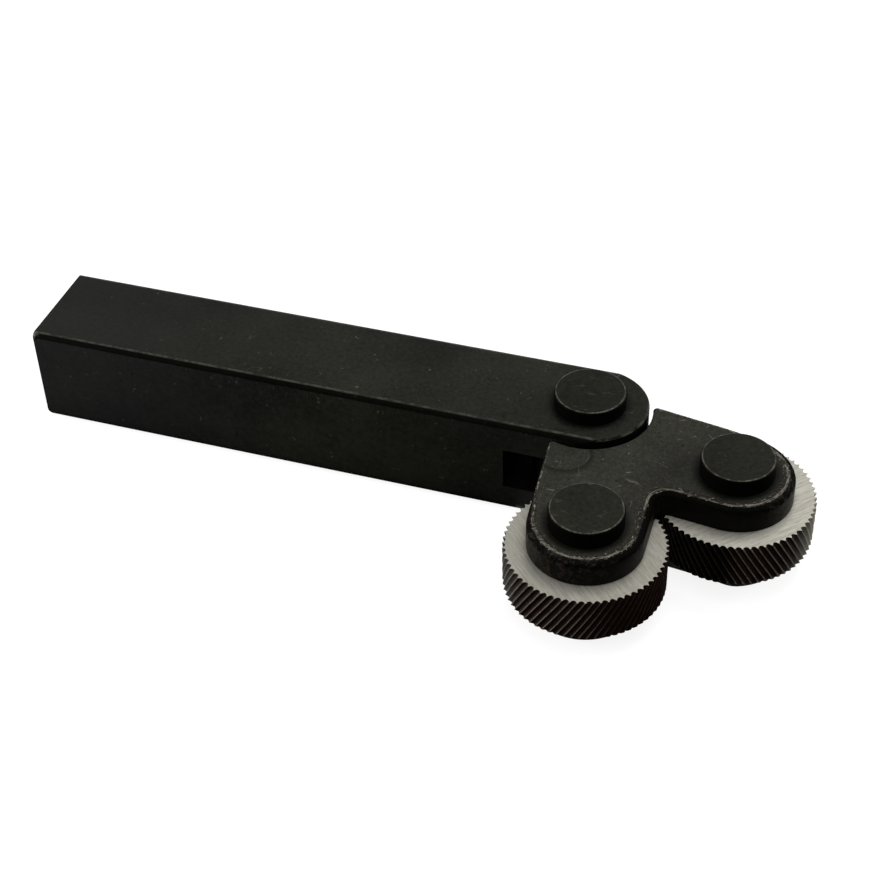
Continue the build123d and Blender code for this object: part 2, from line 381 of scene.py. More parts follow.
def black_steel(name):
    """The shank's finish: oxide with knocks and scratches, and a thin worn line with a painted
    highlight where its top turns down, above a corner in painted shade.
    Towards the rear, low on the side and towards the fork it has painted light and shade, and
    inside the fork's slot it is painted nearly black as shade."""
    graph = Graph(name)
    base, rough, height = oxide_coat(graph, SHANK_OXIDE, clouding=0.32)
    up = graph.axis(graph.normal, "Z")
    flat = graph.step(up, 0.9, 0.99)
    side = graph.step(up, 0.3, 0.1)
    along, across, above = (graph.axis(graph.place, letter) for letter in "XYZ")
    # Light knocks and scratches, and nicks on the side below the top edge
    specks = graph.larger(
        graph.specks(0.8, 0.70),
        graph.specks(2.0, 0.74, (0.6, 1.6, 1), (3, 8, 2)),
    )
    lines = graph.scratches(0.12, 0.0018, 0.63, stretch=(1, 1.2, 1.6), shift=(5, 1, 3))
    marks = graph.larger(graph.times(specks, 0.30), graph.times(lines, 0.16))
    base = graph.over(base, NICKED_OXIDE, marks)
    nicks = graph.specks(1.2, 0.65, (2.4, 1, 0.7), (9, 0, 5))
    below_edge = graph.step(above, SHANK_TOP - 5, SHANK_TOP - 1)
    base = graph.over(base, NICKED_OXIDE, nicks, below_edge, side, 0.2)
    # Greyer towards the rear, as a painted sheen on the side and painted shade on the top;
    # painted shade low on the side and towards the fork
    rear = graph.step(along, 15, -35)
    base = graph.over(base, graph.mix(side, REAR_TOP_PAINTED_SHADE, REAR_SIDE_PAINTED_SHEEN), rear, 0.5)
    base = graph.over(base, DEEP_OXIDE_AND_SHADE, side, graph.step(above, 9, 0), 0.33)
    base = graph.over(base, DEEP_OXIDE_AND_SHADE, side, graph.step(along, 5, 45), 0.34)
    # Dark knocks, dirt and painted shade round the pin's head, and painted shade in the corner
    # and on the nose's wall
    knocks = graph.specks(0.8, 0.72, shift=(11, 4, 6))
    base = graph.over(base, DEEP_OXIDE_AND_SHADE, knocks, 0.8)
    grime_and_shade = graph.step(graph.from_axis(pivot), PIN_HEAD_RADIUS + 1.5, PIN_HEAD_RADIUS + 0.1)
    base = graph.over(base, DEEP_OXIDE_AND_SHADE, grime_and_shade, flat, 0.8)
    # Painted shade where the top's edges turn down to the sides
    corner = graph.band(up, 0.04, 0.25, 0.86, 0.93)
    base = graph.over(base, DEEP_OXIDE_AND_SHADE, corner, 0.85)
    # Painted shade on the nose's side
    nose = graph.step(along, PIVOT_X - 2, PIVOT_X + 1)
    base = graph.over(base, DEEP_OXIDE_AND_SHADE, nose, side, 0.9)
    # The worn line with a painted highlight on it, lower down round the nose, and the worn rear
    # corner
    wear = graph.noise(0.6, detail=5, roughness=0.75, shift=(1, 0, 0))
    wear = graph.step(wear, 0.40, 0.60)
    top_line = graph.band(up, 0.90, 0.95, 0.997, 0.9996)
    nose_line = graph.times(
        graph.step(along, PIVOT_X + 3.2, PIVOT_X + 3.8),
        graph.step(up, 0.5, 0.6),
        graph.step(up, 0.93, 0.86),
        0.95,
    )
    line = graph.larger(top_line, nose_line)
    base = graph.over(base, RUBBED_OXIDE_AND_HIGHLIGHT, line, graph.blend(wear, 0.12, 0.75))
    rear_corner = graph.offset_from((SHANK_REAR, -SHANK_HALF, SHANK_TOP))
    tip = graph.step(graph.vector_math("LENGTH", rear_corner), 1.3, 0.4)
    base = graph.over(base, WORN_STEEL, tip, wear, 0.6)
    # Painted shade inside the fork's slot
    inside = graph.times(
        graph.step(along, *REAR_OF_SLOT),
        graph.step(graph.away_from(above, SHANK_TOP / 2), *SLOT_HALF_HEIGHT),
        graph.step(graph.math("ABSOLUTE", across), SHANK_HALF - 0.02, SHANK_HALF - 0.12),
    )
    base = graph.over(base, DEEP_OXIDE_AND_SHADE, inside)
    dull = graph.larger(corner, graph.times(nose, side))
    height = graph.math("ADD", height, graph.times(knocks, -1.5))
    return graph.finish(
        Base_Color=base,
        Roughness=rough,
        Specular_IOR_Level=graph.blend(dull, SATIN, DULL),
        Normal=graph.bump(height, 0.03, 0.4),
    )


def pin_steel(name, oxide):
    """Oxide, with a thin broken worn line where the head's top turns down, carrying a painted
    highlight, and a wall painted nearly black as shade."""
    graph = Graph(name)
    base, rough, height = oxide_coat(graph, oxide)
    up = graph.axis(graph.normal, "Z")
    # Wall painted nearly black as shade
    wall = graph.step(up, 0.86, 0.72)
    base = graph.over(base, DEEP_OXIDE_AND_SHADE, wall, 0.97)
    # A thin broken worn line with a painted highlight on the head's rounding
    uneven = graph.noise(0.8, detail=4, roughness=0.7, shift=(4, 4, 0))
    line = graph.times(
        graph.band(up, 0.76, 0.86, 0.985, 0.999),
        graph.blend(graph.step(uneven, 0.40, 0.66), 0.15, 0.85),
    )
    base = graph.over(base, RUBBED_PIN_RIM_AND_HIGHLIGHT, line)
    spots = graph.larger(
        graph.specks(0.8, 0.66, (0.5, 1.5, 1), (1, 2, 3)),
        graph.specks(2.2, 0.72, (1.6, 0.5, 1)),
    )
    base = graph.over(base, WORN_STEEL, spots, graph.step(up, 0.9, 0.99), 0.07)
    return graph.finish(
        Base_Color=base,
        Roughness=rough,
        Metallic=graph.times(line, 0.4),
        Specular_IOR_Level=graph.blend(wall, SATIN, DULL),
        Normal=graph.bump(height, 0.03, 0.5),
    )


def scuffed_flat(graph, base, flat):
    """The head's flats: scuffs, scratches, speckle and knocks, with dirt and painted shade round
    the pins' heads, and darker in a ring round the casting mark."""
    scuffs = graph.larger(
        graph.specks(0.8, 0.69, (0.5, 1.5, 1), (8, 2, 0), graph.turned(0.3)),
        graph.specks(1.2, 0.70, (0.6, 1.3, 1), (1, 7, 0), graph.turned(1.0)),
    )
    lines = graph.scratches(0.11, 0.004, 0.55, stretch=(1, 1.3, 1), shift=(6, 2, 0))
    scuffs = graph.larger(scuffs, graph.times(lines, 0.8))
    base = graph.over(base, SCUFFED_OXIDE, scuffs, flat, 0.32)
    speckle = graph.noise(3.0, detail=3, roughness=0.7, shift=(4, 4, 4))
    base = graph.over(base, DEEP_OXIDE_AND_SHADE, graph.step(speckle, 0.5, 0.7), flat, 0.30)
    base = graph.over(base, PALE_OXIDE, graph.step(speckle, 0.46, 0.32), flat, 0.18)
    knocks = graph.specks(0.9, 0.69, shift=(2, 9, 4))
    base = graph.over(base, DEEP_OXIDE_AND_SHADE, knocks, flat, 0.8)
    # Dirt and painted shade round each wheel pin's head
    for axis in (right_hand_axis, left_hand_axis):
        grime_and_shade = graph.step(graph.from_axis(axis), PIN_HEAD_RADIUS + 1.7, PIN_HEAD_RADIUS + 0.2)
        base = graph.over(base, DEEP_OXIDE_AND_SHADE, grime_and_shade, flat, 0.85)
    below_mark = graph.band(graph.from_head_place(WITNESS_PLACE), 4.0, 4.15, 4.3, 5.4)
    return graph.over(base, DEEP_OXIDE_AND_SHADE, below_mark, flat, 0.55)


def worn_edge(graph, base, up, outer):
    """The head's outer edge, by the length along it and the distance across it. Returns the base,
    how far each place is worn through to the steel with a painted highlight, and how far it lies
    below the line, in painted shade."""
    rim, along = graph.attribute("rim"), graph.attribute("along")
    place = graph.vector(along, rim, graph.times(graph.axis(graph.place, "Y"), 0.1))
    chips = graph.noise(
        1.0, detail=5, roughness=0.75, stretch=(1.2, 2.4, 1), shift=(0, 4, 2), at=place
    )
    worn = graph.times(
        graph.band(rim, *(RIM_EDGE + offset for offset in WORN_STRIP)),
        graph.step(graph.from_axis(pivot), COLLAR_RADIUS + 0.5, COLLAR_RADIUS + 1.2),
    )
    base = graph.over(base, CHIPPED_BROWN, worn, graph.step(chips, 0.40, 0.55), 0.85)
    # Painted shade: nearly black below the line, with an irregular lower end
    lower_end = graph.math("ADD", up, graph.times(graph.math("SUBTRACT", chips, 0.5), 1.6))
    turned_down = graph.times(
        graph.step(rim, RIM_EDGE + 0.1, RIM_EDGE + 0.35),
        graph.step(lower_end, 0.1, 0.5),
    )
    base = graph.over(base, DEEP_OXIDE_AND_SHADE, turned_down, 0.93)
    # Brown worn patches on the lobes' outer sides, which also paint the light falling there from
    # the sides
    patches = graph.noise(1.1, detail=6, roughness=0.85, shift=(6, 1, 4))
    base = graph.over(
        base, RUBBED_BROWN_AND_LIGHT,
        graph.step(patches, 0.50, 0.64),
        outer,
        graph.step(rim, RIM_EDGE + 0.1, RIM_EDGE + 0.4),
        0.5,
    )
    # The line worn through to the steel, with a painted highlight, sharp and broken on the far
    # parts, and painted glints beside it
    streaks = graph.noise(1.0, detail=3, roughness=0.6, stretch=(0.7, 4.0, 1), at=place)
    gaps = graph.noise(1.0, detail=2, stretch=(0.16, 0, 1), shift=(3, 0, 6), at=place)
    breaks = graph.noise(
        1.0, detail=3, roughness=0.7, stretch=(1.1, 0, 1), shift=(9, 0, 0), at=place
    )
    crisp = graph.step(along, *CRISP_PART)
    line = graph.times(
        graph.band(rim, *(RIM_EDGE + offset for offset in BARE_STRIP)),
        graph.step(streaks, 0.40, 0.58),
        graph.step(gaps, 0.32, 0.44),
        graph.step(graph.from_head_place(SHELTERED_PLACE), *SHELTERED_REACH),
        graph.blend(crisp, 1.0, graph.step(breaks, 0.42, 0.54)),
        graph.blend(crisp, 0.66, 0.9),
    )
    painted_shine = graph.noise(
        1.0, detail=3, roughness=0.7, stretch=(1.8, 4.0, 1), shift=(5, 0, 0), at=place
    )
    glints = graph.step(painted_shine, 0.60, 0.66)
    bare_and_highlight = graph.times(worn, graph.larger(line, graph.times(glints, 0.8)))
    base = graph.over(base, graph.mix(glints, WORN_STEEL, GLINT_STEEL), bare_and_highlight)
    return base, bare_and_highlight, turned_down


def head_steel(name):
    """Paler, more worn oxide, with walls painted nearly black as shade. Where the flat turns down
    to the walls it is chipped, with painted glints and a thin broken line worn through to the
    steel that carries a painted highlight, and below that line it is painted nearly black as
    shade."""
    graph = Graph(name)
    base, rough, height = oxide_coat(graph, HEAD_OXIDE, clouding=0.42)
    up = graph.math("ABSOLUTE", graph.axis(graph.normal, "Z"))
    wall = graph.step(up, 0.8, 0.5)
    outer = graph.band(graph.attribute("along"), *OUTER_LOBES)
    # Walls painted nearly black as shade, with rusty patches, heavier on the lobes' outer sides,
    # where they also paint the light falling there
    rust_and_light = graph.step(graph.noise(0.45, detail=6, roughness=0.8, shift=(3, 1, 0)), 0.46, 0.66)
    rust_and_light = graph.times(rust_and_light, graph.blend(outer, 0.25, 0.85))
    base = graph.over(base, graph.mix(rust_and_light, WALL_PAINTED_SHADE, RUST_BROWN), wall)
    base = scuffed_flat(graph, base, graph.step(up, 0.9, 0.99))
    base, bare_and_highlight, turned_down = worn_edge(graph, base, up, outer)
    upper_wall = graph.step(graph.axis(graph.place, "Z"), MID_HEIGHT, MID_HEIGHT + 2)
    sheen = graph.blend(graph.times(wall, upper_wall), SATIN, WALL_SHEEN)
    return graph.finish(
        Base_Color=base,
        Roughness=graph.blend(bare_and_highlight, graph.blend(turned_down, rough, 0.8), 0.36),
        Metallic=graph.times(bare_and_highlight, 0.35),
        Specular_IOR_Level=graph.blend(turned_down, sheen, DULL),
        Normal=graph.bump(graph.math("ADD", height, graph.times(bare_and_highlight, 0.4)), 0.05, 0.8),
    )


def ground_face(graph, radius, along_grain, lines, painted_shine):
    """A wheel's ground face: fine lines along the grain, some of them deep, and a ring of dirt
    and painted shade where the wheel runs below the plate's edge. Its colours are scaled by a
    brightness factor, which is painted light."""
    shade = scaled(GROUND_SHADE, painted_shine)
    ground = graph.mix(graph.step(lines, 0.36, 0.62), shade, scaled(GROUND_STEEL, painted_shine))
    patches = graph.noise(
        0.5, detail=5, roughness=0.75, stretch=(1, 1.6, 1), shift=(4, 0, 0), at=along_grain
    )
    ground = graph.over(ground, shade, graph.step(patches, 0.45, 0.65), 0.3)
    deep = graph.specks(1.0, 0.63, (0.4, 4.5, 1), (2, 6, 0), along_grain)
    ground = graph.over(ground, DEEP_LINES, deep, 0.45)
    uneven = graph.noise(0.9, detail=5, roughness=0.75, shift=(0, 0, 3))
    swing = graph.times(graph.math("SUBTRACT", uneven, 0.5), 1.4)
    # Dirt and painted shade in a ring below the plate's edge
    ring = graph.step(graph.math("ADD", radius, swing), LOBE_RADIUS + 0.5, LOBE_RADIUS - 0.1)
    return graph.over(ground, RING_DIRT_AND_SHADE, ring, 0.28)


def knurl_steel(name, axis, grain, painted_shine, grease_and_shade, grease_and_shade_reach, painted_light_reach):
    """Ground faces with straight lines along an angle from the head's own X; light crests and
    brown grooves by the distance from the wheel's axis. The oily part with painted shade and the
    part with painted light each start and are full at two distances towards the other wheel. The
    brightness factor of faces and crests is painted light."""
    graph = Graph(name)
    radius = graph.from_axis(axis)
    face = graph.step(graph.math("ABSOLUTE", graph.axis(graph.normal, "Z")), 0.7, 0.9)
    along_grain = graph.turned(HEAD_TURN + grain)
    lines = graph.noise(1.0, detail=4, roughness=0.8, stretch=(0.22, 3.6, 1), at=along_grain)
    ground = ground_face(graph, radius, along_grain, lines, painted_shine)
    dirt = graph.noise(1.4, detail=5, roughness=0.75, shift=(5, 5, 5))
    crest = graph.step(radius, WHEEL_RADIUS - 0.15, WHEEL_RADIUS - 0.01)
    crest = graph.times(crest, graph.blend(graph.step(dirt, 0.35, 0.55), 0.45, 1.0))
    groove = graph.mix(graph.step(dirt, 0.45, 0.75), GROOVE_BROWN, GROOVE_DUST)
    teeth = graph.over(groove, scaled(CREST_STEEL, painted_shine), crest)
    # Oily, with painted shade, on the side that faced the other wheel, and painted light on the
    # opposite side
    to_other_wheel = tuple((between_wheels - axis).normalized())
    inward = graph.vector_math("DOT_PRODUCT", graph.offset_from(axis / MM), to_other_wheel)
    painted_light_side = graph.step(inward, *painted_light_reach)
    teeth = graph.over(teeth, PAINTED_LIGHT_TEETH, painted_light_side, 0.8)
    greasy_and_shaded = graph.step(inward, *grease_and_shade_reach)
    cover = graph.blend(graph.step(dirt, 0.3, 0.6), 0.97, 0.88)
    teeth = graph.over(teeth, grease_and_shade, greasy_and_shaded, cover)
    return graph.finish(
        Base_Color=graph.mix(face, teeth, ground),
        Roughness=graph.blend(face, 0.5, 0.38),
        Metallic=graph.larger(graph.times(face, 0.35), graph.times(painted_light_side, 0.4)),
        Specular_IOR_Level=graph.blend(
            face, graph.blend(greasy_and_shaded, TOOTH_SHEEN, GREASY_SHEEN), SATIN
        ),
        Specular_Tint=WARM_TINT,
        Normal=graph.bump(graph.times(lines, face), 0.01, 0.5),
    )


def dress(obj, material):
    obj.data.materials.clear()
    obj.data.materials.append(material)


# ---------------------------------------------------------------- mesh helpers

def mesh_object(name, bm):
    """Makes an object of a bmesh, and frees the bmesh."""
    bmesh.ops.recalc_face_normals(bm, faces=bm.faces)
    mesh = bpy.data.meshes.new(name)
    bm.to_mesh(mesh)
    bm.free()
    obj = bpy.data.objects.new(name, mesh)
    bpy.context.scene.collection.objects.link(obj)
    return obj


def shade_smooth(obj):
    """Smooth shading, broken at sharp edges."""
    obj.data.shade_smooth()
    obj.data.set_sharp_from_angle(angle=SHARP_ANGLE)


def join_rings(bm, rings, closed=False):
    """Joins rings of equal length into a wall, whose last ring meets the first if closed."""
    loops = [[bm.verts.new(point) for point in ring] for ring in rings]
    course = loops + loops[:1] if closed else loops
    for lower, upper in zip(course, course[1:]):
        for i in range(len(lower)):
            j = (i + 1) % len(lower)
            bm.faces.new((lower[i], lower[j], upper[j], upper[i]))
    return loops


def rings_to_solid(bm, rings):
    """A wall of rings, with a face on its first ring and one on its last."""
    loops = join_rings(bm, rings)
    bm.faces.new(loops[0][::-1])
    bm.faces.new(loops[-1])


def plate_rings(outline, low, high):
    return [[(p.x, p.y, height) for p in outline] for height in (low, high)]


def arc(centre, radius, start, end, step=0.25):
    """Points along an arc, angles in radians, about one step apart in millimetres."""
    count = max(2, math.ceil(abs(end - start) * radius / step))
    angles = [start + (end - start) * i / count for i in range(count + 1)]
    return [
        Vector((centre[0] + radius * math.cos(a), centre[1] + radius * math.sin(a)))
        for a in angles
    ]


def straight(start, end, step=0.5):
    count = max(1, math.ceil((end - start).length / step))
    return [start.lerp(end, i / count) for i in range(count + 1)]


def turned_solid(profile, segments=96, centre=(0, 0)):
    """A solid of revolution from (radius, height) pairs, lowest first, about an upright
    axis through the centre."""
    angles = [2 * math.pi * i / segments for i in range(segments)]
    bm = bmesh.new()
    rings_to_solid(bm, [
        [(radius * math.cos(a), radius * math.sin(a), height) for a in angles]
        for radius, height in profile
    ])
    bmesh.ops.translate(bm, verts=bm.verts, vec=(*centre, 0))
    return bm


def to_row(bm, axis):
    """Moves a bmesh from the origin, in millimetres, to an upright axis, in metres."""
    bmesh.ops.translate(bm, verts=bm.verts, vec=(axis.x / MM, axis.y / MM, 0))
    bmesh.ops.scale(bm, verts=bm.verts, vec=(MM, MM, MM))


def cut(target, tool, operation="DIFFERENCE"):
    """Applies a boolean of target and tool, and removes the tool."""
    modifier = target.modifiers.new("cut", "BOOLEAN")
    modifier.operation = operation
    modifier.solver = "EXACT"
    modifier.object = tool
    applied = target.evaluated_get(bpy.context.evaluated_depsgraph_get())
    mesh = bpy.data.meshes.new_from_object(applied)
    target.modifiers.clear()
    target.data = mesh
    bpy.data.objects.remove(tool)


# ---------------------------------------------------------------- swivel head

def half_outline():
    """The head's outline on one side of its middle, from the notch round to the collar."""
    lobe = Vector((WHEEL_AHEAD, WHEEL_ASIDE))
    apex = Vector((NOTCH_AHEAD, 0))
    to_lobe = lobe - apex
    notch_slope = math.atan2(to_lobe.y, to_lobe.x) - math.asin(LOBE_RADIUS / to_lobe.length)
    from_shoulder = lobe - SHOULDER
    side_slope = math.atan2(from_shoulder.y, from_shoulder.x)
    side_slope += math.asin(LOBE_RADIUS / from_shoulder.length)
    along = Vector((math.cos(side_slope), math.sin(side_slope)))
    inward = Vector((along.y, -along.x))
    # The shoulder's rounding touches the sloping side and the collar's circle
    base = SHOULDER + inward * SHOULDER_ROUNDING
    reach = COLLAR_RADIUS + SHOULDER_ROUNDING
    across = base.dot(along)
    ahead = -across + math.sqrt(across ** 2 - base.length_squared + reach ** 2)
    corner = base + along * ahead
    corner_angle = math.atan2(corner.y, corner.x)
    notch_centre = apex + Vector((NOTCH_ROUNDING / math.sin(notch_slope), 0))
    out_of_lobe = Vector((math.sin(notch_slope), -math.cos(notch_slope)))
    quarter = math.pi / 2
    points = arc(notch_centre, NOTCH_ROUNDING, math.pi, quarter + notch_slope)
    points += straight(points[-1], lobe + LOBE_RADIUS * out_of_lobe)[1:]
    points += arc(lobe, LOBE_RADIUS, notch_slope - quarter, side_slope + quarter)[1:]
    points += straight(points[-1], corner - inward * SHOULDER_ROUNDING)[1:]
    points += arc(
        corner, SHOULDER_ROUNDING, side_slope + quarter, corner_angle + math.pi, step=0.12
    )[1:]
    points += arc((0, 0), COLLAR_RADIUS, corner_angle, 0)[1:]
    return points


def head_outline():
    half = half_outline()
    mirrored = [Vector((p.x, -p.y)) for p in reversed(half)]
    return half + mirrored[1:-1]


def eased(share):
    """Smooth step of a share that is held between 0 and 1."""
    share = min(max(share, 0), 1)
    return share * share * (3 - 2 * share)


def edge_radius(point, side=1):
    """How much the head's outer edge is rounded: well worn at the lobes, crisp elsewhere.
    The lower edge, side -1, has a large relief round the notch."""
    worn = eased((point.x - WORN_FROM * WHEEL_AHEAD) / (WORN_OVER * WHEEL_AHEAD))
    radius = CRISP_EDGE + (WORN_EDGE - CRISP_EDGE) * worn
    if side < 0:
        from_apex = (point - Vector((NOTCH_AHEAD, 0))).length
        radius += (NOTCH_RELIEF - radius) * eased((RELIEF_REACH - from_apex) / RELIEF_GROWTH)
    return radius


def rim_width(point):
    """Width of the strip along the flat's edge that can be worn."""
    wear = RIM_WIDTH_GAIN * (edge_radius(point) - CRISP_EDGE)
    return RIM_WIDTH_CRISP + wear / (WORN_EDGE - CRISP_EDGE)


def outward_normals(outline):
    normals = []
    for i in range(len(outline)):
        along = (outline[(i + 1) % len(outline)] - outline[i - 1]).normalized()
        normals.append(Vector((along.y, -along.x)))
    return normals


def from_notch(outline):
    """Length along the outline from the notch's middle, the shorter way round."""
    lengths = [0.0]
    for start, end in zip(outline, outline[1:]):
        lengths.append(lengths[-1] + (end - start).length)
    total = lengths[-1] + (outline[0] - outline[-1]).length
    return [min(length, total - length) for length in lengths]


def set_corner_values(bm, name, ring_values):
    """Gives each face corner the value of its vertex, ring by ring in the order made."""
    layer = bm.loops.layers.float.new(name)
    value = dict(zip(bm.verts, (number for values in ring_values for number in values)))
    for face in bm.faces:
        for loop in face.loops:
            loop[layer] = value[loop.vert]


def head_body():
    """The head's outer form. The corner attribute rim is RIM_EDGE where its flats turn
    down, more beyond that, less further in, and 0 on anything cut or added later. The
    corner attribute along is the length along the edge from the notch."""
    outline = head_outline()
    normals = outward_normals(outline)

    def ring(turn, height, side):
        return [
            (*(p - n * r * (1 - math.cos(turn))), height - side * r * (1 - math.sin(turn)))
            for p, n, r in zip(outline, normals, (edge_radius(p, side) for p in outline))
        ]

    def inner_ring(height, side, further_in):
        return [
            (*(p - n * (edge_radius(p, side) + rim_width(p) + further_in)), height)
            for p, n in zip(outline, normals)
        ]

    turns = [math.radians(a) for a in EDGE_TURNS]
    rings = [inner_ring(HEAD_BOTTOM, -1, RIM_FADE), inner_ring(HEAD_BOTTOM, -1, 0)]
    rings += [ring(turn, HEAD_BOTTOM, -1) for turn in reversed(turns)]
    rings += [ring(turn, HEAD_TOP, 1) for turn in turns]
    rings += [inner_ring(HEAD_TOP, 1, 0), inner_ring(HEAD_TOP, 1, RIM_FADE)]
    centre = [0.0 for p in outline]
    inner = [RIM_EDGE - rim_width(p) for p in outline]
    rounded = [
        [RIM_EDGE + edge_radius(p) * (math.pi / 2 - turn) for p in outline]
        for turn in turns
    ]
    bm = bmesh.new()
    rings_to_solid(bm, rings)
    set_corner_values(bm, "rim", [centre, inner] + rounded[::-1] + rounded + [inner, centre])
    set_corner_values(bm, "along", [from_notch(outline)] * len(rings))
    return mesh_object("swivel_head_worn", bm)


def helper(bm):
    """An object that cuts another or is joined to it, and is then removed."""
    return mesh_object("helper", bm)


def disc(centre, radius, low, high, segments=192):
    return helper(turned_solid(((radius, low), (radius, high)), segments, centre))


def tongue():
    """The flat tongue that turns in the shank's fork."""
    outline = arc((0, 0), TONGUE_RADIUS, math.pi / 2, 3 * math.pi / 2)
    outline += [Vector((WHEEL_AHEAD / 2, side * TONGUE_RADIUS)) for side in (-1, 1)]
    bm = bmesh.new()
    low, high = MID_HEIGHT - TONGUE_HEIGHT / 2, MID_HEIGHT + TONGUE_HEIGHT / 2
    rings_to_solid(bm, plate_rings(outline, low, high))
    return helper(bm)


def wheel_pin_hole(centre):
    """A wheel pin's hole, with a countersink from below for its tail."""
    return helper(turned_solid((
        (PIN_RADIUS + TAIL_SPREAD + OVERCUT, HEAD_BOTTOM - OVERCUT),
        (PIN_RADIUS, HEAD_BOTTOM + TAIL_SPREAD),
        (PIN_RADIUS, HEAD_TOP + OVERCUT),
    ), centre=centre))


def flat_top():
    """The flat part of the head's top, as a plate that reaches above it."""
    outline = head_outline()
    inset = [
        point - outward * (edge_radius(point) + WITNESS_INSET)
        for point, outward in zip(outline, outward_normals(outline))
    ]
    bm = bmesh.new()
    rings_to_solid(bm, plate_rings(inset, MID_HEIGHT, HEAD_TOP + OVERCUT))
    return helper(bm)


def casting_mark():
    """The low round mark, ended where the head's top turns down."""
    mark = helper(turned_solid((
        (WITNESS_RADIUS, HEAD_TOP - OVERCUT),
        (WITNESS_RADIUS, HEAD_TOP),
        (WITNESS_RADIUS - WITNESS_HEIGHT, HEAD_TOP + WITNESS_HEIGHT),
    ), centre=WITNESS_PLACE))
    cut(mark, flat_top(), "INTERSECT")
    return mark


def make_head():
    head = head_body()
    cut(head, tongue(), "UNION")
    slot = (MID_HEIGHT - WHEEL_SLOT / 2, MID_HEIGHT + WHEEL_SLOT / 2)
    for side in (-1, 1):
        centre = (WHEEL_AHEAD, side * WHEEL_ASIDE)
        cut(head, disc(centre, POCKET_RADIUS, *slot))
        cut(head, wheel_pin_hole(centre))
    cut(head, disc((0, 0), PIN_RADIUS + BORE_CLEARANCE, 0, HEAD_TOP + OVERCUT, 96))
    cut(head, casting_mark(), "UNION")
    head.data.transform(HEAD_TO_ROW @ Matrix.Scale(MM, 4))
    shade_smooth(head)
    dress(head, head_steel("worn_black_head"))
    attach(head, "head")
    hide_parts("swivel_head")


# ---------------------------------------------------------------- pins

def make_pin(node, body, axis, seat, oxide):
    """A pin with a low round head above its seat, and a tail peened into a countersink."""
    low, top = (corner.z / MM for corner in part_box(node))
    profile = [
        (PIN_RADIUS + TAIL_SPREAD, low),
        (PIN_RADIUS, low + TAIL_SPREAD),
        (PIN_RADIUS, seat),
        (PIN_HEAD_RADIUS, seat),
    ]
    centre = (PIN_HEAD_RADIUS - PIN_HEAD_ROUNDING, top - PIN_HEAD_ROUNDING)
    profile += [(p.x, p.y) for p in arc(centre, PIN_HEAD_ROUNDING, 0, math.pi / 2, step=0.08)]
    bm = turned_solid(profile, 128)
    to_row(bm, axis)
    pin = mesh_object(node + "_rubbed", bm)
    shade_smooth(pin)
    dress(pin, pin_steel(node + "_finish", oxide))
    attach(pin, body)
    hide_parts(node)


# ---------------------------------------------------------------- knurl wheels

def tooth_profile():
    """(radius, share of a pitch) from one crest to the next: a thin crest, a round groove."""
    crest_edge = WHEEL_RADIUS - CREST_FALL
    across = [-0.97, -0.85, -0.6, -0.3, 0, 0.3, 0.6, 0.85, 0.97]
    groove = [
        (WHEEL_RADIUS - TOOTH_DEPTH * (1 - u * u) ** 0.8, 0.5 + u * (0.5 - CREST_SHARE))
        for u in across
    ]
    return [
        (WHEEL_RADIUS, 0.0),
        (crest_edge, CREST_SHARE * 0.7),
        *groove,
        (crest_edge, 1 - CREST_SHARE * 0.7),
    ]


def make_wheel(name, node, body, axis, hand, finish):
    """A knurl wheel: hand +1 for a right-hand helix, -1 for a left-hand one."""
    low = axis.z / MM - WHEEL_WIDTH / 2
    high = low + WHEEL_WIDTH
    pitch = 2 * math.pi / TOOTH_COUNT
    rim = [
        (radius, (tooth + share) * pitch)
        for tooth in range(TOOTH_COUNT)
        for radius, share in tooth_profile()
    ]
    lead = hand * math.tan(HELIX_ANGLE) / WHEEL_RADIUS

    def ring(height, turn, largest=WHEEL_RADIUS):
        """The rim at a height, with nothing further out than the largest radius."""
        return [
            (min(r, largest) * math.cos(a + turn), min(r, largest) * math.sin(a + turn), height)
            for r, a in rim
        ]

    bore = PIN_RADIUS + BORE_CLEARANCE
    face = WHEEL_RADIUS - TOOTH_DEPTH - FACE_BEYOND_TEETH
    top_turn = lead * WHEEL_WIDTH
    heights = [low + TOOTH_BEVEL]
    heights += [low + WHEEL_WIDTH * level / HELIX_LEVELS for level in range(1, HELIX_LEVELS + 1)]
    bm = bmesh.new()
    join_rings(bm, [
        ring(low, 0, bore + BORE_BEVEL),
        ring(low, 0, face),
        ring(low, 0, WHEEL_RADIUS - TOOTH_BEVEL),
        *(ring(height, lead * (height - low)) for height in heights),
        ring(high, top_turn, face),
        ring(high, top_turn, bore + BORE_BEVEL),
        ring(high - BORE_BEVEL, top_turn, bore),
        ring(low + BORE_BEVEL, 0, bore),
    ], closed=True)
    to_row(bm, axis)
    wheel = mesh_object(name, bm)
    shade_smooth(wheel)
    dress(wheel, finish)
    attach(wheel, body)
    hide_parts(node)


# ---------------------------------------------------------------- stage

FLOOR_SHADE = 0.17
FLOOR_GLOW = 0.88
FLOOR_DROP = 0.0001              # below the tool, so that their faces don't meet
WORLD_LIGHT = 0.06
CARD_LIFT = 0.0004               # of a lying card above the underside

# Camera, in degrees and millimetres: where it stands, and what it aims at
CAMERA_AZIMUTH = 19.51
CAMERA_ELEVATION = 40.81
CAMERA_ROLL = -1.85
CAMERA_DISTANCE = 297.8
AIM_FROM_PIVOT = (-19.28, -17.30)
AIM_HEIGHT = 19.05
LENS = 74.47
SENSOR = 36


def seen_directly(nodes, links):
    """1 for rays that show a surface as background: camera, glossy and transmission."""
    path = nodes.new("ShaderNodeLightPath")
    total = path.outputs["Is Camera Ray"]
    for name in ("Is Glossy Ray", "Is Transmission Ray"):
        either = nodes.new("ShaderNodeMath")
        either.operation = "MAXIMUM"
        links.new(total, either.inputs[0])
        links.new(path.outputs[name], either.inputs[1])
        total = either.outputs[0]
    return total


